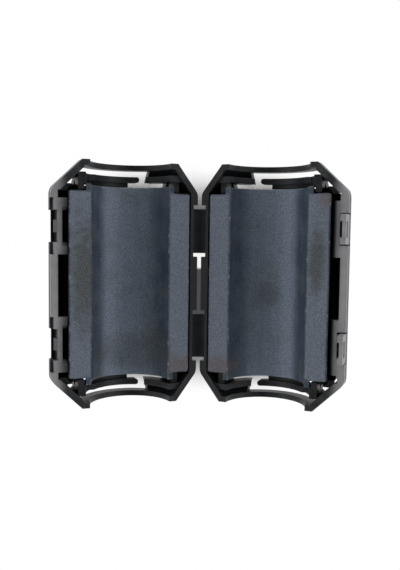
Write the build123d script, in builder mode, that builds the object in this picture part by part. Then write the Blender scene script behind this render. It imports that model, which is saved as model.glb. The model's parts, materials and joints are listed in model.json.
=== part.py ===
"""Clip-on ferrite core for a round cable, open on its living hinge.

Each half is drawn in its own frame: X runs across from the hinge axis, Y along the cable,
and Z stands square to the parting plane, with the material below it. The finished halves are
then set down in an open V, with the hinge low in the middle and the latch sides lifted.
"""

import os
from math import cos, radians, sin, sqrt

from build123d import *

os.makedirs("parts", exist_ok=True)

# Rest pose: how far each half is lifted at its latch side, in degrees
tilt = 22.0

# Half core of ferrite
bore_radius = 5.3
core_radius = 8.25
core_length = 24.4
collar_length = 0.9
collar_thickness = 0.7
land_chamfer = 0.2
land_gap = 0.02
collar_start = 2.0
collar_sweep = 176.0

# Moulded case half: a half barrel with a tapered nose at each end
wall = 1.0
core_play = 0.15
rim_gap = 0.06
hinge_offset = 0.25
end_wall = 0.75
end_play = 0.1
nose_radius = 6.5
nose_wall = 0.8
notch_clearance = 0.2
shoulder_round = 1.5
end_round = 0.5

# Box along the latch side, and the flanges at its two corners
latch_recess = 1.4
latch_wall = 0.9
latch_depth = 4.5
latch_floor = 0.9
upright_height = 1.8
wall_lean = 1.8
latch_corner_round = 1.8
corner_floor_depth = 1.6
corner_floor = 0.7

# Latches: a sprung loop on one half stands over a lug on the other
latch_inset = 1.0
latch_block_length = 7.2
block_gap = 0.2
block_bevel = 0.6
block_bevel_depth = 1.0
loop_width = 3.8
loop_thickness = 0.7
loop_height = 1.8
loop_leg = 0.9
loop_bar = 0.6
loop_bar_thickness = 0.45
loop_eye_drop = 0.2
loop_round = 0.4
loop_slot = 0.35
loop_slot_depth = 1.7
loop_side_gap = 0.15
lug_length = 1.6
lug_height = 0.65
lug_drop = 0.45
lug_clearance = 0.06
channel_gap = 0.25
channel_wall = 0.5
channel_depth = 2.6
pocket_depth = 3.0
pocket_bevel = 0.5
shoulder_width = 0.4
shoulder_drop = 1.0

# Cable grip at each end: a curved spring finger, and a fixed rib facing it
grip_clearance = 0.2
grip_thickness = 0.7
grip_width = 1.4
grip_gap = 0.1
grip_end_gap = 0.85
grip_start = 3.0
grip_sweep = 98.0
grip_rib_width = 0.8
grip_rib_depth = 3.6
grip_tip_reach = 2.5
grip_tip_round = 0.35
fixed_rib_end = 176.0
fixed_rib_sweep = 50.0
fin_thickness = 0.8
fin_drop = 0.3
hinge_fin_drop = 1.0
hinge_fin_bottom = 3.0
hinge_fin_length = 1.6
window_margin = 1.4
window_gap = 0.75
corner_window_width = 0.8
corner_window_length = 1.15
corner_window_step = 0.75
corner_leg = 0.7

# Living hinge: two thin straps
strap_inset = 2.0
strap_width = 6.0
strap_relief = 0.5
strap_reach = 0.85
strap_thickness = 0.3
strap_level = 0.25
strap_notch_depth = 1.5

# Sizes that follow from the ones above
cavity_radius = core_radius + core_play
barrel_radius = cavity_radius + wall
axis_x = hinge_offset + barrel_radius
hinge_height = barrel_radius - axis_x * sin(radians(tilt))
notch_radius = bore_radius + notch_clearance

core_end_y = core_length / 2
collar_end_y = core_end_y + collar_length
collar_radius = bore_radius + collar_thickness

grip_near_y = collar_end_y + grip_gap
grip_far_y = grip_near_y + grip_width
grip_rib_y = grip_far_y - grip_rib_width
end_face_y = grip_far_y + grip_end_gap
half_length = end_face_y + end_wall
case_length = 2 * half_length

shoulder_y = core_end_y + end_play
nose_length = half_length - shoulder_y
nose_slope = (barrel_radius - nose_radius) / nose_length
nose_offset = nose_wall * sqrt(1 + nose_slope**2)
nose_inner_radius = nose_radius + nose_slope * end_wall - nose_offset
nose_inner_start = shoulder_y + (barrel_radius - nose_offset - cavity_radius) / nose_slope

latch_inner_x = axis_x + core_radius + latch_recess
latch_outer_x = latch_inner_x + latch_wall
box_bottom = latch_depth + latch_floor
wall_slope = wall_lean / (box_bottom - upright_height)
recess_drop = upright_height - latch_wall * (sqrt(1 + wall_slope**2) - 1) / wall_slope
recess_bottom_x = latch_inner_x - wall_slope * (latch_depth - recess_drop)
flange_bottom = corner_floor_depth + corner_floor

latch_centre = core_end_y - latch_inset - latch_block_length / 2
strap_centre = core_end_y - strap_inset - strap_width / 2
block_inner_x = axis_x + core_radius + block_gap
block_near_y = latch_centre - latch_block_length / 2
block_far_y = latch_centre + latch_block_length / 2
loop_near_y = latch_centre - loop_width / 2
loop_far_y = latch_centre + loop_width / 2
loop_inner_x = latch_outer_x - loop_thickness
slot_inner_x = loop_inner_x - loop_slot
channel_near_y = loop_near_y - loop_side_gap
channel_far_y = loop_far_y + loop_side_gap
channel_x = loop_inner_x - channel_gap
pocket_outer_x = channel_x - channel_wall
lug_tip_x = latch_outer_x - loop_bar_thickness - lug_clearance

grip_inner_radius = bore_radius + grip_clearance
strip_inner_radius = collar_radius
strip_outer_radius = strip_inner_radius + grip_thickness
fin_inner_x = axis_x + collar_radius + grip_clearance
fin_outer_x = fin_inner_x + fin_thickness
grip_tip_x = axis_x - grip_tip_reach
window_x = grip_tip_x - window_margin


def turned_profile(middle_radius, end_radius, taper_start, end_y):
    """Draw the half section of a turned form beside the cable axis, tapered at both ends."""
    with BuildSketch() as profile:
        with BuildLine():
            Polyline(
                (axis_x, -end_y),
                (axis_x + end_radius, -end_y),
                (axis_x + middle_radius, -taper_start),
                (axis_x + middle_radius, taper_start),
                (axis_x + end_radius, end_y),
                (axis_x, end_y),
                close=True,
            )
        make_face()
    return profile.sketch


def latch_plan():
    """Draw the outline of the latch side from above, with its two corners cut off."""
    with BuildSketch() as plan:
        with BuildLine():
            Polyline(
                (axis_x, -half_length),
                (axis_x + nose_radius, -half_length),
                (latch_outer_x, -shoulder_y),
                (latch_outer_x, shoulder_y),
                (axis_x + nose_radius, half_length),
                (axis_x, half_length),
                close=True,
            )
        make_face()
    return plan.sketch


def inner_plan():
    """Draw the latch side's inner outline, a wall's thickness inside the outer one."""
    with BuildSketch() as plan:
        add(latch_plan())
        offset(amount=-latch_wall, kind=Kind.INTERSECTION, mode=Mode.REPLACE)
        with Locations((axis_x + latch_wall, 0)):
            Rectangle(2 * latch_wall, 2 * end_face_y)
        with Locations((axis_x, 0)):
            Rectangle(case_length, 2 * end_face_y, mode=Mode.INTERSECT)
    return plan.sketch


def ring_sector(plane, centre, inner, outer, start, sweep):
    """Draw a slice of a ring about a centre; its angles run down from the latch side."""
    with BuildSketch(plane) as sector:
        with BuildLine():
            outside = CenterArc(centre, outer, -start, -sweep)
            inside = CenterArc(centre, inner, -start, -sweep)
            Line(outside @ 0, inside @ 0)
            Line(outside @ 1, inside @ 1)
        make_face()
    return sector.sketch


def block(x_range, y_range, z_range, mode=Mode.ADD):
    """Add or cut a straight block between two limits along each axis."""
    spans = (x_range, y_range, z_range)
    with Locations(tuple(sum(span) / 2 for span in spans)):
        Box(*(max(span) - min(span) for span in spans), mode=mode)


def across(y):
    """Give the plane across the cable at y; an extrusion from it runs towards the middle."""
    return Plane.XZ.offset(-y)


def nose_inner(y):
    """Give the inner radius of the tapered nose at y."""
    return nose_inner_radius + nose_slope * (end_face_y - y)


def nose_outer(y):
    """Give the outer radius of the tapered nose at y."""
    return nose_radius + nose_slope * (half_length - y)


def loop_latch():
    """Model a latch block with a sprung loop that stands up beside it."""
    block((block_inner_x, latch_outer_x), (block_near_y, block_far_y), (-latch_depth, -rim_gap))
    bevel_top = block_inner_x + block_bevel
    with BuildPart(mode=Mode.PRIVATE) as bevel:
        with BuildSketch(across(block_far_y)):
            with BuildLine():
                Polyline(
                    (block_inner_x, 0),
                    (bevel_top, 0),
                    (bevel_top, -rim_gap),
                    (block_inner_x, -rim_gap - block_bevel_depth),
                    close=True,
                )
            make_face()
        extrude(amount=latch_block_length)
    add(bevel.part, mode=Mode.SUBTRACT)

    # Slit behind the loop and at both its sides, which lets it spring
    slit_y = (channel_near_y, channel_far_y)
    block((slot_inner_x, latch_outer_x), slit_y, (-loop_slot_depth, 0), Mode.SUBTRACT)
    with BuildPart(mode=Mode.PRIVATE) as loop:
        with BuildSketch(Plane.YZ.offset(loop_inner_x)):
            with Locations((latch_centre, (loop_height - loop_slot_depth) / 2)):
                plate = Rectangle(loop_width, loop_height + loop_slot_depth)
            fillet(plate.vertices().group_by(Axis.Z)[-1], radius=loop_round)
        extrude(amount=loop_thickness)
    add(loop.part)

    # Eye of the loop, and the thinner bar across its top
    eye_y = (loop_near_y + loop_leg, loop_far_y - loop_leg)
    eye_z = (loop_eye_drop, loop_height - loop_bar)
    block((loop_inner_x, latch_outer_x), eye_y, eye_z, Mode.SUBTRACT)
    relief_x = (loop_inner_x, latch_outer_x - loop_bar_thickness)
    block(relief_x, eye_y, (loop_eye_drop, loop_height), Mode.SUBTRACT)


def lug_latch():
    """Model two guide posts with a pocket between them, and the lug that the loop takes."""
    block((block_inner_x, latch_outer_x), (block_near_y, block_far_y), (-latch_depth, -rim_gap))
    channel_y = (channel_near_y, channel_far_y)
    block((channel_x, latch_outer_x), channel_y, (-channel_depth, 0), Mode.SUBTRACT)
    block((block_inner_x, pocket_outer_x), channel_y, (-pocket_depth, 0), Mode.SUBTRACT)
    with BuildPart(mode=Mode.PRIVATE) as bevel:
        with BuildSketch(Plane.YZ.offset(block_inner_x)):
            with BuildLine():
                Polyline(
                    (channel_near_y - pocket_bevel, 0),
                    (channel_far_y + pocket_bevel, 0),
                    (channel_far_y + pocket_bevel, -rim_gap),
                    (channel_far_y, -rim_gap - pocket_bevel),
                    (channel_near_y, -rim_gap - pocket_bevel),
                    (channel_near_y - pocket_bevel, -rim_gap),
                    close=True,
                )
            make_face()
        extrude(amount=pocket_outer_x - block_inner_x)
    add(bevel.part, mode=Mode.SUBTRACT)

    # The posts step down towards the outside
    shoulder_x = (latch_outer_x - shoulder_width, latch_outer_x)
    for post_y in ((block_near_y, channel_near_y), (channel_far_y, block_far_y)):
        block(shoulder_x, post_y, (-shoulder_drop, 0), Mode.SUBTRACT)

    # Lug with a ramp on top and a square catch below
    with BuildPart(mode=Mode.PRIVATE) as lug:
        with BuildSketch(across(latch_centre + lug_length / 2)):
            with BuildLine():
                Polyline(
                    (channel_x, -lug_drop),
                    (lug_tip_x, -lug_drop - lug_height / 2),
                    (lug_tip_x, -lug_drop - lug_height),
                    (channel_x, -lug_drop - lug_height),
                    close=True,
                )
            make_face()
        extrude(amount=lug_length)
    add(lug.part)


def case_half(with_loops):
    """Model one half of the moulded case, drawn in its own frame."""
    cable_axis = Axis((axis_x, 0, 0), (0, 1, 0))
    cable_centre = (axis_x, 0)
    with BuildPart() as case:
        # Half barrel with tapered noses
        with BuildSketch() as barrel:
            add(turned_profile(barrel_radius, nose_radius, shoulder_y, half_length))
            corners = barrel.vertices().group_by(Axis.X)
            fillet(corners[-1], radius=shoulder_round)
            fillet(corners[1], radius=end_round)
        revolve(axis=cable_axis, revolution_arc=180)

        # Latch-side box between the shoulders, and flat flanges out to the ends
        block((axis_x, latch_outer_x), (-shoulder_y, shoulder_y), (-box_bottom, 0))
        with BuildSketch() as plan:
            add(latch_plan())
            far_corners = plan.vertices().group_by(Axis.X)
            fillet(far_corners[-1], radius=latch_corner_round)
            fillet(far_corners[1], radius=end_round)
        extrude(amount=-flange_bottom)
        with BuildSketch():
            with Locations((latch_outer_x, 0)):
                Rectangle(4 * latch_corner_round, case_length)
            add(plan.sketch, mode=Mode.SUBTRACT)
        extrude(amount=-box_bottom, mode=Mode.SUBTRACT)

        # Seat of the core, and the room beside it for the latches
        with BuildSketch():
            add(turned_profile(cavity_radius, nose_inner_radius, nose_inner_start, end_face_y))
        revolve(axis=cable_axis, revolution_arc=180, mode=Mode.SUBTRACT)
        with BuildSketch() as recess:
            add(inner_plan())
        extrude(amount=-corner_floor_depth, mode=Mode.SUBTRACT)
        with BuildSketch(across(core_end_y)):
            with BuildLine():
                Polyline(
                    (axis_x, 0),
                    (latch_inner_x, 0),
                    (latch_inner_x, -recess_drop),
                    (recess_bottom_x, -latch_depth),
                    (axis_x, -latch_depth),
                    close=True,
                )
            make_face()
        extrude(amount=core_length, mode=Mode.SUBTRACT)

        # Cable notch through both ends, and the plane where the two halves meet
        with BuildSketch(across(half_length)):
            with Locations(cable_centre):
                Circle(notch_radius)
        extrude(amount=case_length, mode=Mode.SUBTRACT)
        split(bisect_by=Plane.XY.offset(-rim_gap), keep=Keep.BOTTOM)

        # Only one end is worked out from here on, and mirrored at the last
        split(bisect_by=Plane.XZ, keep=Keep.BOTTOM)

        # Window through the back, under the finger and beside it
        hinge_fin_x = axis_x - collar_radius - grip_clearance
        with BuildSketch():
            with Locations(((hinge_fin_x + latch_outer_x) / 2, (grip_far_y + end_face_y) / 2)):
                Rectangle(latch_outer_x - hinge_fin_x, end_face_y - grip_far_y)
            add(recess.sketch, mode=Mode.INTERSECT)
            with Locations(((window_x + fin_inner_x) / 2, (grip_near_y + end_face_y) / 2)):
                Rectangle(fin_inner_x - window_x, end_face_y - grip_near_y)
            with Locations(((hinge_fin_x + window_x) / 2, grip_near_y + window_gap / 2)):
                Rectangle(window_x - hinge_fin_x, window_gap)
        extrude(amount=-barrel_radius, mode=Mode.SUBTRACT)

        # Fins at both sides of the cable; the one on the latch side carries the finger
        fin_near_y = core_end_y + grip_clearance
        fin_z = (-flange_bottom, -rim_gap - fin_drop)
        block((fin_inner_x, fin_outer_x), (fin_near_y, grip_far_y), fin_z)
        hinge_fin_z = (-hinge_fin_bottom, -rim_gap - hinge_fin_drop)
        hinge_fin_y = (fin_near_y, fin_near_y + hinge_fin_length)
        block((hinge_fin_x - fin_thickness, hinge_fin_x), hinge_fin_y, hinge_fin_z)

        # Spring finger that grips the cable: a curved strip with a rib along its outer edge
        far_plane = across(grip_far_y)
        strip = (strip_inner_radius, strip_outer_radius, grip_start, grip_sweep)
        extrude(ring_sector(far_plane, cable_centre, *strip), amount=grip_width)
        with BuildPart(mode=Mode.PRIVATE) as rib:
            with BuildSketch(far_plane):
                with Locations(cable_centre):
                    Circle(strip_outer_radius)
                with Locations((grip_tip_x + strip_outer_radius, -grip_rib_depth - strip_outer_radius)):
                    Rectangle(2 * strip_outer_radius, 2 * strip_outer_radius, mode=Mode.INTERSECT)
                with Locations(cable_centre):
                    Circle(grip_inner_radius, mode=Mode.SUBTRACT)
            extrude(amount=grip_rib_width)
            tip_edges = rib.edges().filter_by(Axis.Z).group_by(Axis.X)[0]
            fillet(tip_edges, radius=grip_tip_round)
        add(rib.part)

        # Fixed rib that faces the finger from the hinge side
        rib_outer = (nose_inner(grip_rib_y) + nose_outer(grip_far_y)) / 2
        rib_start = fixed_rib_end - fixed_rib_sweep
        fixed_rib = (grip_inner_radius, rib_outer, rib_start, fixed_rib_sweep)
        extrude(ring_sector(far_plane, cable_centre, *fixed_rib), amount=grip_rib_width)

        # Small window through the corner floor, which goes on beside the core by the loops
        window_y = fin_near_y + corner_window_step + corner_window_width / 2
        window_length = corner_window_length
        if with_loops:
            window_length = latch_inner_x - fin_outer_x
        with BuildSketch():
            with Locations((fin_outer_x + window_length / 2, window_y)):
                Rectangle(window_length, corner_window_width)
            if with_loops:
                leg_length = window_y + corner_window_width / 2 - block_far_y
                with Locations((latch_inner_x - corner_leg / 2, block_far_y + leg_length / 2)):
                    Rectangle(corner_leg, leg_length)
            add(recess.sketch, mode=Mode.INTERSECT)
        extrude(amount=-box_bottom, mode=Mode.SUBTRACT)

        # Notch for a hinge strap
        strap_y = (
            strap_centre - strap_width / 2 - strap_relief,
            strap_centre + strap_width / 2 + strap_relief,
        )
        block((0, strap_reach), strap_y, (-strap_notch_depth, 0), Mode.SUBTRACT)

        if with_loops:
            loop_latch()
        else:
            lug_latch()

        # The latch wall stands upright at its top and leans in below
        with BuildSketch(across(half_length)):
            with BuildLine():
                Polyline(
                    (latch_outer_x, -upright_height),
                    (latch_outer_x, -box_bottom),
                    (latch_outer_x - wall_lean, -box_bottom),
                    close=True,
                )
            make_face()
        extrude(amount=half_length, mode=Mode.SUBTRACT)
        mirror(about=Plane.XZ)
    return case.part


def half_core():
    """Model one half of the ferrite core, drawn in the frame of its case half."""
    with BuildPart() as core:
        with BuildSketch(across(core_end_y)) as section:
            with Locations((axis_x, 0)):
                Circle(core_radius)
                Circle(bore_radius, mode=Mode.SUBTRACT)
            with Locations((axis_x, -land_gap - core_radius)):
                Rectangle(2 * core_radius, 2 * core_radius, mode=Mode.INTERSECT)
            chamfer(section.vertices().group_by(Axis.Z)[-1], length=land_chamfer)
        extrude(amount=core_length)
        chamfer(core.edges().filter_by(Axis.Y, reverse=True), length=land_chamfer)
        collar = ring_sector(
            across(collar_end_y), (axis_x, 0), bore_radius, collar_radius, collar_start, collar_sweep
        )
        extrude(collar, amount=2 * collar_end_y)
    return core.part


def hinge_strap(centre_y):
    """Model one thin strap of the living hinge, bent as it stands at rest."""
    lift = radians(tilt)
    bend_radius = (strap_reach * cos(lift) + strap_level * sin(lift)) / sin(lift)
    bend_height = (
        hinge_height + strap_reach * sin(lift) - strap_level * cos(lift) + bend_radius * cos(lift)
    )
    with BuildPart() as strap:
        face = ring_sector(
            across(centre_y + strap_width / 2),
            (0, bend_height),
            bend_radius - strap_thickness / 2,
            bend_radius + strap_thickness / 2,
            90 - tilt,
            2 * tilt,
        )
        extrude(face, amount=strap_width)
    return strap.part


def save(name, part, plane=Plane.XY):
    """Set a piece down on its plane, name it and write its file."""
    with BuildPart() as piece:
        with Locations(plane.location):
            add(part)
    piece.part.label = name
    export_step(piece.part, f"parts/{name}.step")


lift_x = cos(radians(tilt))
lift_z = sin(radians(tilt))
hinge_point = (0, 0, hinge_height)
right_seat = Plane(hinge_point, x_dir=(lift_x, 0, lift_z), z_dir=(-lift_z, 0, lift_x))
left_seat = Plane(hinge_point, x_dir=(-lift_x, 0, lift_z), z_dir=(lift_z, 0, lift_x))

save("case_half_lugs", case_half(with_loops=False), left_seat)
save("case_half_loops", case_half(with_loops=True), right_seat)
save("core_half_left", half_core(), left_seat)
save("core_half_right", half_core(), right_seat)
save("hinge_strap_upper", hinge_strap(strap_centre))
save("hinge_strap_lower", hinge_strap(-strap_centre))
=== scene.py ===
"""Looks of an open clip-on ferrite core: its finishes, bent straps, stage, light and camera."""

import json
import logging
from dataclasses import dataclass
from enum import Enum
from math import cos, hypot, pi, radians, sin
from typing import Any, Sequence, Union

import bmesh
import bpy
from mathutils import Euler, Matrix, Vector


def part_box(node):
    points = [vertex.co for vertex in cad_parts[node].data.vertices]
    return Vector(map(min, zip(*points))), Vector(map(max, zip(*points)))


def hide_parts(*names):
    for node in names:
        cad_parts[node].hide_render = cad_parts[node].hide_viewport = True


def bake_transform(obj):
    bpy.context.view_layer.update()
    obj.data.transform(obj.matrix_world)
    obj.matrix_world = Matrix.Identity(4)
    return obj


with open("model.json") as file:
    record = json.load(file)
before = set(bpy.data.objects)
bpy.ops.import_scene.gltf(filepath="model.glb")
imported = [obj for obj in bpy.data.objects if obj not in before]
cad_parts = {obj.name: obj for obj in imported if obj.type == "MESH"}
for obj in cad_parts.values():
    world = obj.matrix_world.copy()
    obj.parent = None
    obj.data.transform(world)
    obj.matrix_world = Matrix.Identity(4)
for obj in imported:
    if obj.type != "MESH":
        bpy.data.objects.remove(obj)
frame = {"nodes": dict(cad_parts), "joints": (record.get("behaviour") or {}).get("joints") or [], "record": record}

log = logging.getLogger("ferrite_clip")

MM = 0.001
PHOTO_HEIGHT = 570

Colour = tuple[float, float, float, float]
Term = Union["Shade", float]


def grey(value: float) -> Colour:
    """Give a neutral colour of that brightness."""
    return (value, value, value, 1.0)


class Side(Enum):
    """The two halves, by the way each reaches out from the hinge."""

    LEFT = -1
    RIGHT = 1


class Shade:
    """A socket of a node tree that takes part in ordinary arithmetic."""

    def __init__(self, graph: "Graph", socket: bpy.types.NodeSocket) -> None:
        """Keep the socket with the graph that it belongs to."""
        self.graph = graph
        self.socket = socket

    def output(self, name: str) -> "Shade":
        """Give another output of the same node."""
        return Shade(self.graph, self.socket.node.outputs[name])

    def math(self, operation: str, *terms: Term) -> "Shade":
        """Add a Math node that does the operation named on the terms given."""
        return self.graph.node("ShaderNodeMath", {"operation": operation}, dict(enumerate(terms)))

    def __add__(self, other: Term) -> "Shade":
        """Add a value or another socket."""
        return self.math("ADD", self, other)

    def __radd__(self, other: Term) -> "Shade":
        """Add this socket to a value."""
        return self.math("ADD", other, self)

    def __sub__(self, other: Term) -> "Shade":
        """Take a value or another socket away."""
        return self.math("SUBTRACT", self, other)

    def __rsub__(self, other: Term) -> "Shade":
        """Take this socket away from a value."""
        return self.math("SUBTRACT", other, self)

    def __mul__(self, other: Term) -> "Shade":
        """Multiply by a value or another socket."""
        return self.math("MULTIPLY", self, other)

    def __rmul__(self, other: Term) -> "Shade":
        """Multiply a value by this socket."""
        return self.math("MULTIPLY", other, self)

    def __abs__(self) -> "Shade":
        """Give the size without its sign."""
        return self.math("ABSOLUTE", self)

    def rise(self, low: float, high: float) -> "Shade":
        """Go smoothly from 0 to 1.

        Args:
            low: Where it is 0.
            high: Where it is 1; it may lie below low.

        Returns:
            The smooth step.
        """
        settings = {"interpolation_type": "SMOOTHSTEP"}
        values = {"Value": self, "From Min": low, "From Max": high}
        if low > high:
            values |= {"From Min": high, "From Max": low, "To Min": 1.0, "To Max": 0.0}
        return self.graph.node("ShaderNodeMapRange", settings, values)

    def band(self, centre: float, reach: float, soft: float) -> "Shade":
        """Give 1 within reach of a centre, falling to 0 over a soft edge."""
        return abs(self - centre).rise(reach + soft, reach)


class Graph:
    """The node tree of a material or a world, which one method fills with nodes of any type."""

    MIX_FIRST = 6
    MIX_SECOND = 7
    MIX_COLOUR = 2

    def __init__(self, owner: bpy.types.Material | bpy.types.World) -> None:
        """Start an empty tree.

        Args:
            owner: The material or world that gets the tree.
        """
        self.owner = owner
        owner.use_nodes = True
        self.tree = owner.node_tree
        self.tree.nodes.clear()

    @classmethod
    def material(cls, name: str) -> "Graph":
        """Start a new material of that name."""
        return cls(bpy.data.materials.new(name))

    def node(
        self,
        kind: str,
        settings: dict[str, Any] | None = None,
        values: dict[Any, Any] | None = None,
        output: int | str = 0,
    ) -> Shade:
        """Add one node, set it and join it up.

        Args:
            kind: The node's type.
            settings: Its properties, set first; stops fills a colour ramp.
            values: Values or links of its inputs, by name or number.
            output: Which of its outputs is wanted.

        Returns:
            That output.
        """
        made = self.tree.nodes.new(kind)
        for key, value in (settings or {}).items():
            if key == "stops":
                self.fill_ramp(made.color_ramp, value)
            else:
                setattr(made, key, value)
        for key, value in (values or {}).items():
            if isinstance(value, Shade):
                self.tree.links.new(value.socket, made.inputs[key])
            else:
                made.inputs[key].default_value = value
        return Shade(self, made.outputs[output] if len(made.outputs) else None)

    @staticmethod
    def fill_ramp(ramp: bpy.types.ColorRamp, stops: Sequence[tuple[float, Colour]]) -> None:
        """Fill a colour ramp.

        Args:
            ramp: The ramp.
            stops: Its positions and colours, from low to high.
        """
        while len(ramp.elements) < len(stops):
            ramp.elements.new(1.0)
        for element, (position, colour) in zip(ramp.elements, stops):
            element.position = position
            element.color = colour

    def place(self) -> Shade:
        """Give the point on the surface in millimetres, which moves with its object."""
        spot = self.node("ShaderNodeTexCoord", output="Object")
        return self.node("ShaderNodeVectorMath", {"operation": "SCALE"}, {0: spot, "Scale": 1 / MM})

    def shift(self, spot: Shade, way: Sequence[float]) -> Shade:
        """Move a point by a way in millimetres."""
        return self.node("ShaderNodeVectorMath", {"operation": "ADD"}, {0: spot, 1: way})

    def stretch(
        self, spot: Shade, scale: Sequence[float], turn: Sequence[float] = (0, 0, 0)
    ) -> Shade:
        """Turn a point by angles in degrees and scale it along each axis."""
        values = {0: spot, "Rotation": [radians(angle) for angle in turn], "Scale": scale}
        return self.node("ShaderNodeMapping", values=values)

    def noise(self, spot: Shade, scale: float, detail: float = 2.0) -> Shade:
        """Give noise between 0 and 1, with that many cells to the millimetre."""
        values = {"Vector": spot, "Scale": scale, "Detail": detail}
        return self.node("ShaderNodeTexNoise", values=values)

    def lines(self, spot: Shade, scale: float, warp: float, rings: bool = False) -> Shade:
        """Give fine wavy lines.

        Args:
            spot: The point, in millimetres.
            scale: How close the lines lie.
            warp: How far they waver.
            rings: Whether they are rings about the point's origin and not parallel.

        Returns:
            1 on a line and 0 between two.
        """
        settings = {"wave_type": "BANDS"}
        if rings:
            settings = {"wave_type": "RINGS", "rings_direction": "SPHERICAL"}
        values = {"Vector": spot, "Scale": scale, "Distortion": warp}
        values |= {"Detail": 2.0, "Detail Scale": 1.5}
        return self.node("ShaderNodeTexWave", settings, values)

    def dots(self, spot: Shade, spacing: float, radius: float, share: float) -> Shade:
        """Scatter small round dots.

        Args:
            spot: The point, in millimetres.
            spacing: The mean way from one possible dot to the next.
            radius: How large a dot can be.
            share: How many of the possible dots are there, from 0 to 1.

        Returns:
            1 inside a dot and 0 elsewhere.
        """
        values = {"Vector": spot, "Scale": 1 / spacing}
        distance = self.node("ShaderNodeTexVoronoi", values=values)
        lot = self.node("ShaderNodeSeparateColor", values={0: distance.output("Color")})
        inside = distance.rise(radius / spacing, 0.6 * radius / spacing)
        return inside * lot.rise(1.0 - share, 1.01 - share)

    def blend(self, factor: Term, first: Any, second: Any, mode: str = "MIX") -> Shade:
        """Mix two colours.

        Args:
            factor: How much of the second colour there is.
            first: The first colour or its socket.
            second: The second colour or its socket.
            mode: The Mix node's own name for how it mixes.

        Returns:
            The mixed colour.
        """
        settings = {"data_type": "RGBA", "blend_type": mode}
        values = {0: factor, self.MIX_FIRST: first, self.MIX_SECOND: second}
        return self.node("ShaderNodeMix", settings, values, self.MIX_COLOUR)

    def mix(self, factor: Shade, first: Shade, second: Shade) -> Shade:
        """Mix two shaders by a factor."""
        return self.node("ShaderNodeMixShader", values={0: factor, 1: first, 2: second})

    def rounded(self, radius: float) -> Shade:
        """Give the normal with the edges rounded by that radius in metres."""
        return self.node("ShaderNodeBevel", {"samples": 4}, {"Radius": radius})

    def relief(self, height: Shade, strength: float, depth: float, normal: Shade) -> Shade:
        """Give a normal on which a height stands out by that depth in metres."""
        values = {"Strength": strength, "Distance": depth, "Height": height, "Normal": normal}
        return self.node("ShaderNodeBump", values=values)

    def solid(self, base: Shade, roughness: Shade, gloss: float, normal: Shade) -> Shade:
        """Give the shader of an opaque body that isn't metal."""
        values = {"Base Color": base, "Roughness": roughness, "Normal": normal}
        return self.node("ShaderNodeBsdfPrincipled", values=values | {"Specular IOR Level": gloss})

    def finish(self, surface: Shade) -> bpy.types.Material | bpy.types.World:
        """Join a shader to the tree's output.

        Args:
            surface: The shader.

        Returns:
            The material or world that holds the tree.
        """
        kind = type(self.owner).__name__
        self.node(f"ShaderNodeOutput{kind}", values={"Surface": surface})
        return self.owner


@dataclass(frozen=True)
class HalfFrame:
    """The frame of one half: across from the hinge, along the cable, above the parting plane."""

    side: Side
    hinge_height: float
    tilt: float

    def coordinates(self, graph: Graph, spot: Shade) -> tuple[Shade, Shade, Shade]:
        """Turn a point on the surface into this half's frame.

        Args:
            graph: The material's graph.
            spot: The point, in millimetres.

        Returns:
            Across, along and above, in millimetres.
        """
        east = graph.node("ShaderNodeSeparateXYZ", values={0: spot})
        outward = east * float(self.side.value)
        lifted = east.output("Z") - self.hinge_height / MM
        across = outward * cos(self.tilt) + lifted * sin(self.tilt)
        above = lifted * cos(self.tilt) - outward * sin(self.tilt)
        return across, east.output("Y"), above


@dataclass(frozen=True)
class Patch:
    """A soft-edged spot on a half, in millimetres in the frame of that half."""

    side: Side
    across: float
    along: float
    reach_across: float
    reach_along: float
    fray: float = 1.3
    fade: tuple[float, float] = (1.5, 0.35)

    def mask(self, across: Shade, along: Shade, ragged: Shade) -> Shade:
        """Draw the spot.

        Args:
            across: The point's way across the half.
            along: The point's way along the half.
            ragged: Noise about 0 that frays the edge.

        Returns:
            1 in the middle of the spot and 0 outside.
        """
        wide = (across - self.across) * (1 / self.reach_across)
        long = (along - self.along) * (1 / self.reach_along)
        squared = wide * wide + long * long
        return (squared.math("SQRT", squared) + ragged * self.fray).rise(*self.fade)


@dataclass(frozen=True)
class Grain:
    """What all layers of the ferrite share: where the point lies, and the noises there."""

    graph: Graph
    spot: Shade
    across: Shade
    along: Shade
    above: Shade
    clouds: Shade
    ragged: Shade
    coarse: Shade
    fine: Shade


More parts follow.
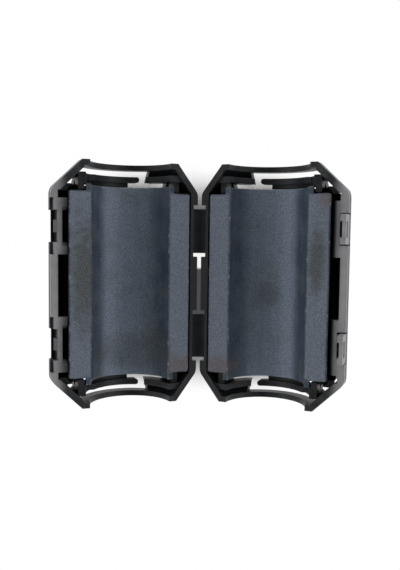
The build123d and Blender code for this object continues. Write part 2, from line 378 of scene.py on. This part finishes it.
@dataclass(frozen=True)
class Ferrite:
    """Matt blue-grey sintered ferrite: speckled, chipped along its edges and ground on its lands.

    Lengths are in millimetres and scales in cells to the millimetre, but edge_round and
    grain_depth are in metres. An edge is given by its half width and its soft border.
    """

    half: HalfFrame
    axis_across: float
    bore_radius: float
    core_radius: float
    core_end: float
    collar_end: float
    stains: tuple[Patch, ...]
    rubs: tuple[Patch, ...]
    tool_marks: tuple[Patch, ...]
    # The groove's colour runs from lit and pale to shaded and deep: painted light and shade, with random tone.
    pale: Colour = (0.142, 0.178, 0.226, 1.0)
    deep: Colour = (0.030, 0.044, 0.064, 1.0)
    ground: Colour = (0.132, 0.155, 0.196, 1.0)
    rubbed: Colour = (0.085, 0.088, 0.082, 1.0)
    worn: Colour = (0.050, 0.054, 0.050, 1.0)
    rust: Colour = (0.110, 0.062, 0.052, 1.0)
    chip: Colour = (0.36, 0.38, 0.40, 1.0)
    pore: Colour = (0.020, 0.026, 0.036, 1.0)
    gloss: float = 0.35
    cloud_scale: float = 0.35
    ragged_scale: float = 1.1
    coarse_scale: float = 9.0
    fine_scale: float = 22.0
    smudge_scale: float = 0.22
    chip_scale: float = 1.5
    streak_scale: float = 1.6
    streak_stretch: tuple[float, float, float] = (1.0, 0.07, 1.0)
    pale_offset: float = -0.8
    pale_reach: tuple[float, float] = (4.5, 2.1)
    polish_band: tuple[float, float, float] = (1.9, 0.2, 1.5)
    land_level: tuple[float, float] = (-0.12, -0.05)
    rim_level: tuple[float, float] = (-0.45, -0.2)
    groove_edge: tuple[float, float] = (0.05, 0.11)
    outer_edge: tuple[float, float] = (0.10, 0.14)
    end_edge: tuple[float, float] = (0.04, 0.12)
    collar_edge: tuple[float, float] = (0.06, 0.12)
    hatch_angle: float = 38.0
    hatch_scale: float = 1.15
    ring_scale: float = 0.95
    ring_shift: tuple[float, float, float] = (4.0, 16.5, -6.0)
    fleck_spacing: float = 0.7
    fleck_radius: float = 0.075
    fleck_share: float = 0.35
    edge_round: float = 0.09 * MM
    grain_depth: float = 0.010 * MM

    def grain(self, graph: Graph) -> Grain:
        """Lay what the layers share.

        Args:
            graph: The material's graph.

        Returns:
            The coordinates and the noises.
        """
        spot = graph.place()
        across, along, above = self.half.coordinates(graph, spot)
        return Grain(
            graph=graph,
            spot=spot,
            across=across,
            along=along,
            above=above,
            clouds=graph.noise(spot, self.cloud_scale, 3.0),
            ragged=graph.noise(spot, self.ragged_scale, 3.0) - 0.5,
            coarse=graph.noise(spot, self.coarse_scale, 3.0),
            fine=graph.noise(spot, self.fine_scale, 1.0),
        )

    def edges(self, at: Grain) -> Shade:
        """Find the edges that chip: those of the lands, and the rims of the collars.

        Args:
            at: The shared coordinates.

        Returns:
            1 on an edge and 0 elsewhere.
        """
        beside = abs(at.across - self.axis_across)
        lengthwise = abs(at.along)
        sides = beside.band(self.bore_radius, *self.groove_edge)
        sides = sides + beside.band(self.core_radius, *self.outer_edge)
        ends = lengthwise.band(self.core_end, *self.end_edge)
        collars = lengthwise.band(self.collar_end, *self.collar_edge)
        total = (sides + ends) * at.above.rise(*self.rim_level) + collars
        return total.math("MINIMUM", total, 1.0)

    def body(self, at: Grain) -> Shade:
        """Colour the groove with painted light, lighter about its middle with a painted highlight band and painted
        shade towards its edges, and colour the ground lands.

        Args:
            at: The shared coordinates and noises.

        Returns:
            The colour.
        """
        graph = at.graph
        streaks = graph.noise(graph.stretch(at.spot, self.streak_stretch), self.streak_scale, 3.0)
        outward = at.across - self.axis_across
        painted_highlight = outward.band(*self.polish_band) * (0.9 + at.ragged * 0.5)
        # Painted light and shade: the groove is painted lighter about its middle and darker towards its edges,
        # with a painted highlight band beside the middle.
        painted_light = abs(outward - self.pale_offset).rise(*self.pale_reach)
        drift = (at.clouds + streaks * 0.6).rise(0.45, 1.15)
        light_and_tone = painted_light * 0.84 + painted_highlight * 0.25 + drift * 0.3 - 0.08
        base = graph.blend(light_and_tone, self.deep, self.pale)
        smudges = graph.noise(at.spot, self.smudge_scale, 4.0).rise(0.52, 0.68)
        base = graph.blend(smudges * 0.3, base, self.rubbed)
        return graph.blend(at.above.rise(*self.land_level) * 0.9, base, self.ground)

    def spots(self, patches: Sequence[Patch], at: Grain) -> Shade:
        """Add up the masks of the patches that lie on this half."""
        own = [patch for patch in patches if patch.side is self.half.side]
        return sum(patch.mask(at.across, at.along, at.ragged) for patch in own)

    def wear(self, at: Grain, base: Shade) -> tuple[Shade, Shade]:
        """Rub, score and stain the patches that lie on this half.

        Args:
            at: The shared coordinates and noises.
            base: The colour below the wear.

        Returns:
            The colour with the wear on it, and the height of the hatching and the tool marks.
        """
        graph = at.graph
        turn = (0, 0, self.hatch_angle * self.half.side.value)
        hatch = graph.lines(graph.stretch(at.spot, (1.0, 1.0, 1.0), turn), self.hatch_scale, 1.4)
        rings = graph.lines(graph.shift(at.spot, self.ring_shift), self.ring_scale, 1.6, rings=True)
        rub = self.spots(self.rubs, at)
        marks = self.spots(self.tool_marks, at)
        stain = self.spots(self.stains, at)
        base = graph.blend(rub * (0.5 + hatch * 0.5), base, self.worn)
        base = graph.blend(marks * (0.2 + rings * 0.5), base, self.worn)
        base = graph.blend(stain * (0.1 + at.coarse * 0.7), base, self.rust)
        return base, rub * hatch * 0.5 + marks * rings * 0.8

    def make(self, name: str) -> bpy.types.Material:
        """Build the material.

        Args:
            name: The material's name.

        Returns:
            The material.
        """
        graph = Graph.material(name)
        at = self.grain(graph)
        base, marks = self.wear(at, self.body(at))

        stops = ((0.32, grey(0.5)), (0.5, grey(1.0)), (0.68, grey(1.6)))
        speckle = graph.node("ShaderNodeValToRGB", {"stops": stops}, {0: at.coarse})
        base = graph.blend(1.0, base, speckle, "MULTIPLY")
        pits = at.fine.rise(0.34, 0.28)
        base = graph.blend(pits * 0.7, base, self.pore)
        flecks = graph.dots(at.spot, self.fleck_spacing, self.fleck_radius, self.fleck_share)
        base = graph.blend(flecks * 0.6, base, self.chip)

        edges = self.edges(at)
        broken = graph.noise(at.spot, self.chip_scale, 5.0) + at.ragged * 0.35
        chips = edges * broken.rise(0.56, 0.66)
        base = graph.blend(chips * 0.5, base, self.chip)
        base = graph.blend(edges * (0.10 + at.ragged * 0.4), base, self.chip)

        height = at.coarse * 0.6 + at.fine * 0.4 - chips * 2.0 - pits * 0.8 + marks
        normal = graph.relief(height, 0.7, self.grain_depth, graph.rounded(self.edge_round))
        roughness = 0.52 + at.coarse * 0.2 + at.clouds * 0.1
        return graph.finish(graph.solid(base, roughness, self.gloss, normal))


@dataclass(frozen=True)
class MouldedBlack:
    """Black moulded plastic: satin and finely grained, with grey scuffs and painted sheen where the rims stand
    proud, a painted highlight along its edges, and painted sheen on the latch side and cut corners.

    Lengths are in millimetres and scales in cells to the millimetre, but edge_round and
    grain_depth are in metres.
    """

    black: Colour = (0.006, 0.007, 0.009, 1.0)
    bloom: Colour = (0.013, 0.015, 0.018, 1.0)
    scuffed: Colour = (0.085, 0.088, 0.094, 1.0)
    handled: Colour = (0.310, 0.310, 0.322, 1.0)
    gloss: float = 0.30
    cloud_scale: float = 0.5
    grain_scale: float = 14.0
    flow_scale: float = 1.8
    flow_stretch: tuple[float, float, float] = (2.4, 0.12, 2.4)
    scratch_scale: float = 2.2
    scratch_stretch: tuple[float, float, float] = (5.0, 0.35, 5.0)
    scratch_angle: float = 24.0
    rim_level: tuple[float, float] = (-0.16, -0.08)
    hinge_side: tuple[float, float] = (0.8, 2.4)
    latch_side: tuple[float, float] = (18.0, 19.9)
    corner_way: tuple[float, float] = (0.694, 0.720)
    corner_face: tuple[float, float] = (22.4, 22.7)
    corner_level: tuple[float, float] = (-0.08, -0.2)
    handled_level: tuple[float, float] = (-1.2, -0.1)
    edge_round: float = 0.12 * MM
    grain_depth: float = 0.012 * MM

    def handle(
        self, base: Shade, half: HalfFrame, spot: Shade, clouds: Shade, scratches: Shade
    ) -> Shade:
        """Scuff a half's rims, partly as painted sheen, and paint a light grey sheen on its latch side and cut
        corners.

        Args:
            base: The colour below.
            half: The half.
            spot: The point, in millimetres.
            clouds: Slow noise.
            scratches: The mask of the scratches.

        Returns:
            The colour with the scuffs and the painted sheen on it.
        """
        graph = base.graph
        across, along, above = half.coordinates(graph, spot)
        # Grey on the rims away from the hinge, partly scuffs and partly painted sheen; the scratches are wear.
        rim = above.rise(*self.rim_level) * across.rise(*self.hinge_side)
        scuff_and_sheen = rim * (clouds - 0.2) * 0.7 + scratches * 0.12
        base = graph.blend(scuff_and_sheen.rise(0.0, 1.0), base, self.scuffed)
        # Painted sheen: the latch side and the cut corners are painted light grey, standing for the reflection on
        # their walls.
        slant = across * self.corner_way[0] + abs(along) * self.corner_way[1]
        corner = slant.rise(*self.corner_face) * above.rise(*self.corner_level)
        painted_sheen = (across.rise(*self.latch_side) + corner) * (0.5 + clouds * 0.6)
        return graph.blend(painted_sheen * above.rise(*self.handled_level), base, self.handled)

    def make(self, name: str, half: HalfFrame | None) -> bpy.types.Material:
        """Build the material.

        Args:
            name: The material's name.
            half: The half whose rims, latch side and corners get scuffs and painted sheen, or None for a strap.

        Returns:
            The material.
        """
        graph = Graph.material(name)
        spot = graph.place()
        clouds = graph.noise(spot, self.cloud_scale, 3.0)
        grain = graph.noise(spot, self.grain_scale)
        flow = graph.noise(graph.stretch(spot, self.flow_stretch), self.flow_scale, 3.0)
        drawn = graph.stretch(spot, self.scratch_stretch, (0, 0, self.scratch_angle))
        scratches = graph.noise(drawn, self.scratch_scale).rise(0.62, 0.68)

        base = graph.blend((clouds * 0.6 + flow * 0.6).rise(0.5, 0.9), self.black, self.bloom)
        if half is not None:
            base = self.handle(base, half, spot, clouds, scratches)

        # An edge is where the rounded normal leaves the face's own
        soft = graph.rounded(self.edge_round)
        face = graph.node("ShaderNodeNewGeometry", output="Normal")
        product = {"operation": "DOT_PRODUCT"}
        level = graph.node("ShaderNodeVectorMath", product, {0: soft, 1: face}, "Value")
        # Painted highlight: every edge is painted lighter, standing for the sheen on its rounded edge.
        edge_highlight = (1.0 - level).rise(0.02, 0.2)
        base = graph.blend(edge_highlight * (0.25 + clouds * 0.7), base, self.scuffed)

        height = grain * 0.7 + flow * 0.5 - scratches * 0.4
        normal = graph.relief(height, 0.5, self.grain_depth, soft)
        roughness = 0.33 + clouds * 0.12 + grain * 0.1
        return graph.finish(graph.solid(base, roughness, self.gloss, normal))


def dress(node: str, material: bpy.types.Material) -> None:
    """Give a CAD node its finish.

    Args:
        node: The node's name.
        material: The finish.
    """
    slots = frame["nodes"][node].data.materials
    slots.clear()
    slots.append(material)
    log.info("%s: %s", node, material.name)


@dataclass(frozen=True)
class Cores:
    """The two half cores, which keep their CAD solids and get their finish here."""

    frames: dict[Side, HalfFrame]
    left: str = "core_half_left"
    right: str = "core_half_right"
    core_radius: float = 8.25
    collar_length: float = 0.9
    stains: tuple[Patch, ...] = (
        Patch(Side.LEFT, 2.4, -11.2, 2.0, 1.4),
        Patch(Side.RIGHT, 2.9, -11.2, 2.0, 1.3),
        Patch(Side.RIGHT, 17.4, 11.4, 0.9, 1.1),
    )
    rubs: tuple[Patch, ...] = (
        Patch(Side.LEFT, 15.9, 1.0, 1.7, 7.4),
        Patch(Side.RIGHT, 16.3, 3.4, 1.1, 4.2),
    )
    tool_marks: tuple[Patch, ...] = (
        Patch(Side.LEFT, 8.6, -9.6, 4.6, 2.6),
        Patch(Side.RIGHT, 8.4, -1.4, 1.8, 2.2),
    )

    def finish(self, side: Side, node: str) -> Ferrite:
        """Fit the ferrite to one half core.

        Args:
            side: The half that the core lies in.
            node: The core's node.

        Returns:
            The finish.
        """
        mounts = frame["record"]["mounts"]
        mount = next(m for m in mounts if m["pos_m"][0] * side.value > 0)
        lift = mount["pos_m"][2] - self.frames[side].hinge_height
        collar_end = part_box(node)[1].y / MM
        return Ferrite(
            half=self.frames[side],
            axis_across=hypot(mount["pos_m"][0], lift) / MM,
            bore_radius=mount["dims"]["r_mm"],
            core_radius=self.core_radius,
            core_end=collar_end - self.collar_length,
            collar_end=collar_end,
            stains=self.stains,
            rubs=self.rubs,
            tool_marks=self.tool_marks,
        )

    def make(self) -> None:
        """Give each half core its ferrite."""
        for side, node in ((Side.LEFT, self.left), (Side.RIGHT, self.right)):
            dress(node, self.finish(side, node).make(f"ferrite_{side.name.lower()}"))


@dataclass(frozen=True)
class CaseHalves:
    """The two rigid halves of the moulded case, which keep their CAD solids."""

    frames: dict[Side, HalfFrame]
    left: str = "case_half_lugs"
    right: str = "case_half_loops"

    def make(self) -> None:
        """Give each half its moulded black finish."""
        for side, node in ((Side.LEFT, self.left), (Side.RIGHT, self.right)):
            dress(node, MouldedBlack().make(f"case_{side.name.lower()}", self.frames[side]))


@dataclass(frozen=True)
class HingeStraps:
    """The living hinge: two thin straps, modelled bent between the halves."""

    hinge_height: float
    tilt: float
    nodes: tuple[str, ...] = ("hinge_strap_upper", "hinge_strap_lower")
    reach: float = 0.85 * MM
    level: float = 0.25 * MM
    thickness: float = 0.3 * MM
    waist: float = 0.22 * MM
    edge_round: float = 0.08 * MM
    bend_start: float = 0.62 * MM
    gloss: float = 0.12
    sharp_angle: float = 50.0
    stations: int = 28
    corner_steps: int = 4

    def section(self, width: float, thickness: float) -> list[tuple[float, float]]:
        """Draw the strap's rounded outline across its bend.

        Args:
            width: Its width along the cable.
            thickness: Its thickness.

        Returns:
            Points as distances along the cable and through the thickness.
        """
        corner = self.edge_round
        points = []
        for quarter, (side, up) in enumerate(((1, 1), (-1, 1), (-1, -1), (1, -1))):
            for step in range(self.corner_steps + 1):
                angle = pi / 2 * (quarter + step / self.corner_steps)
                along = side * (width / 2 - corner) + corner * cos(angle)
                through = up * (thickness / 2 - corner) + corner * sin(angle)
                points.append((along, through))
        return points

    def rings(self, low: float, high: float) -> list[list[tuple[float, float, float]]]:
        """Set outlines along the bend, from one half to the other.

        Args:
            low: Where the strap begins along the cable.
            high: Where it ends.

        Returns:
            The outlines, each a list of points.
        """
        bend_radius = (self.reach * cos(self.tilt) + self.level * sin(self.tilt)) / sin(self.tilt)
        rise = self.reach * sin(self.tilt) - self.level * cos(self.tilt)
        bend_height = self.hinge_height + rise + bend_radius * cos(self.tilt)
        centre = (low + high) / 2
        rings = []
        for station in range(self.stations + 1):
            share = 2 * station / self.stations - 1
            angle = share * self.tilt
            necking = (1 - share * share) ** 2
            thickness = self.thickness + (self.waist - self.thickness) * necking
            ring = []
            for along, through in self.section(high - low, thickness):
                radius = bend_radius - through
                height = bend_height - radius * cos(angle)
                ring.append((radius * sin(angle), centre + along, height))
            rings.append(ring)
        return rings

    def build(self, name: str, node: str) -> bpy.types.Object:
        """Model one strap where its CAD node lies.

        Args:
            name: The new piece's name.
            node: The CAD node that it stands for.

        Returns:
            The new piece.
        """
        low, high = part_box(node)
        shape = bmesh.new()
        rows = [[shape.verts.new(spot) for spot in ring] for ring in self.rings(low.y, high.y)]
        for row, following in zip(rows, rows[1:]):
            for index, vertex in enumerate(row):
                after = (index + 1) % len(row)
                shape.faces.new((vertex, row[after], following[after], following[index]))
        shape.faces.new(rows[0])
        shape.faces.new(rows[-1])
        bmesh.ops.recalc_face_normals(shape, faces=shape.faces)
        mesh = bpy.data.meshes.new(name)
        shape.to_mesh(mesh)
        shape.free()
        mesh.shade_smooth()
        mesh.set_sharp_from_angle(angle=radians(self.sharp_angle))
        piece = bpy.data.objects.new(name, mesh)
        bpy.context.scene.collection.objects.link(piece)
        return piece

    def make(self) -> None:
        """Model both straps, bent across the hinge, in place of their nodes, which are hidden."""
        material = MouldedBlack(gloss=self.gloss).make("strap_plastic", None)
        for node in self.nodes:
            piece = self.build(f"bent_{node}", node)
            piece.data.materials.append(material)
            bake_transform(piece)
            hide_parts(node)
            log.info("%s: strap that bends between the halves", piece.name)


@dataclass(frozen=True)
class Studio:
    """The floor with the part's painted shade, the light tent and the camera over the part.

    Heights in the sky are sines of the angle above the horizon.
    """

    hinge_height: float
    floor_size: float = 3.0
    floor_colour: Colour = (0.86, 0.86, 0.86, 1.0)
    floor_glow: float = 0.85
    floor_brightness: float = 1.12
    shade_colour: Colour = (0.03, 0.03, 0.03, 1.0)
    shade_reach: float = 7 * MM
    shade_openness: tuple[float, float] = (0.66, 0.2)
    shade_strength: float = 0.96
    gap_strength: float = 0.86
    gap_across: tuple[float, float] = (3.2, 2.0)
    gap_along: tuple[float, float, float] = (3.4, 1.3, 0.5)
    screen_foot: tuple[float, float] = (0.08, 0.25)
    screen_top: tuple[float, float] = (0.74, 0.5)
    screen_sides: tuple[float, float] = (0.2, 0.75)
    screen_light: float = 1.2
    front_share: float = 0.35
    ceiling: float = 0.55
    ceiling_edge: tuple[float, float] = (0.80, 0.93)
    dark_overhead: float = 0.52
    camera_height: float = 93 * MM
    camera_along: float = 6.55 * MM
    shift_across: float = 1.2
    focal_pixels: float = 676.0
    pitch: float = 4.15
    roll: float = 0.7
    sensor: float = 36.0

    def shade(self, graph: Graph) -> Shade:
        """Paint the part's shade on the floor, as deep as the floor is enclosed, with a painted lighter spot in
        the gap between the straps.

        Args:
            graph: The floor's graph.

        Returns:
            1 in full shade and 0 in the open.
        """
        spot = graph.node("ShaderNodeSeparateXYZ", values={0: graph.place()})
        lit_gap = abs(spot).rise(*self.gap_across) * spot.output("Y").band(*self.gap_along)
        reach = {"Distance": self.shade_reach}
        open_sky = graph.node("ShaderNodeAmbientOcclusion", {"samples": 16}, reach, "AO")
        depth = self.shade_strength - lit_gap * self.gap_strength
        return open_sky.rise(*self.shade_openness) * depth

    def floor_finish(self) -> bpy.types.Material:
        """Build the floor's material: matt, but clear to the camera outside the part's painted shade.

        Returns:
            The material.
        """
        graph = Graph.material("floor")
        rays = graph.node("ShaderNodeLightPath")
        to_glass = rays.output("Is Transmission Ray")
        mirrored = rays.math("MAXIMUM", rays.output("Is Glossy Ray"), to_glass)
        matt = graph.node("ShaderNodeBsdfDiffuse", values={"Color": self.floor_colour})
        white = {"Color": grey(1.0), "Strength": self.floor_brightness}
        glow = graph.node("ShaderNodeEmission", values=white)
        lit = graph.mix(mirrored * self.floor_glow, matt, glow)
        # The camera sees the floor clear but for the part's painted shade, a dark emission where the floor is
        # enclosed.
        clear = graph.node("ShaderNodeBsdfTransparent")
        painted_shade = graph.node("ShaderNodeEmission", values={"Color": self.shade_colour})
        seen = graph.mix(self.shade(graph), clear, painted_shade)
        return graph.finish(graph.mix(rays.output("Is Camera Ray"), lit, seen))

    def lay_floor(self) -> None:
        """Lay the floor, which lights the part from below."""
        half = self.floor_size / 2
        mesh = bpy.data.meshes.new("floor")
        outline = [(-half, -half, 0), (half, -half, 0), (half, half, 0), (-half, half, 0)]
        mesh.from_pydata(outline, [], [(0, 1, 2, 3)])
        mesh.materials.append(self.floor_finish())
        floor = bpy.data.objects.new("floor", mesh)
        bpy.context.scene.collection.objects.link(floor)
        log.info("floor laid")

    def light(self) -> None:
        """Light the part from low at both sides, as in a light tent under a dark ceiling."""
        graph = Graph(bpy.data.worlds.new("light_tent"))
        way = graph.node("ShaderNodeSeparateXYZ", values={0: graph.node("ShaderNodeTexCoord")})
        up = way.output("Z")
        screens = up.rise(*self.screen_foot) * up.rise(*self.screen_top)
        sideways = abs(way).rise(*self.screen_sides) * (1.0 - self.front_share) + self.front_share
        overhead = self.ceiling - up.rise(*self.ceiling_edge) * self.dark_overhead
        strength = screens * sideways * self.screen_light + overhead
        lit = graph.node("ShaderNodeBackground", values={"Color": grey(1.0), "Strength": strength})
        seen = graph.node("ShaderNodeBackground", values={"Color": grey(1.0), "Strength": 1.0})
        rays = graph.node("ShaderNodeLightPath")
        surface = graph.mix(rays.output("Is Camera Ray"), lit, seen)
        bpy.context.scene.world = graph.finish(surface)
        log.info("light set")

    def aim(self) -> None:
        """Place the camera above the hinge, leaning a little along the cable."""
        lens = bpy.data.cameras.new("camera")
        lens.sensor_fit = "AUTO"
        lens.sensor_width = self.sensor
        lens.lens = self.sensor * self.focal_pixels / PHOTO_HEIGHT
        lens.shift_x = self.shift_across / PHOTO_HEIGHT
        lens.clip_start = 1 * MM
        camera = bpy.data.objects.new("camera", lens)
        height = self.hinge_height + self.camera_height
        camera.location = (0.0, self.camera_along, height)
        lean = Euler((radians(-self.pitch), 0.0, 0.0)).to_matrix()
        twist = Euler((0.0, 0.0, radians(self.roll))).to_matrix()
        camera.rotation_euler = (lean @ twist).to_euler()
        bpy.context.scene.collection.objects.link(camera)
        bpy.context.scene.camera = camera
        bpy.context.scene.view_settings.view_transform = "Standard"
        log.info("camera placed")


def main() -> None:
    """Build everything around the frame."""
    logging.basicConfig(level=logging.INFO, format="%(name)s: %(message)s")
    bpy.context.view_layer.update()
    joint = frame["joints"][0]
    hinge_height = joint["pos_m"][2]
    tilt = radians(-joint["range_deg"][0] / 2)
    frames = {side: HalfFrame(side, hinge_height, tilt) for side in Side}

    studio = Studio(hinge_height)
    studio.lay_floor()
    studio.light()
    studio.aim()
    CaseHalves(frames).make()
    Cores(frames).make()
    HingeStraps(hinge_height, tilt).make()


if __name__ == "__main__":
    main()
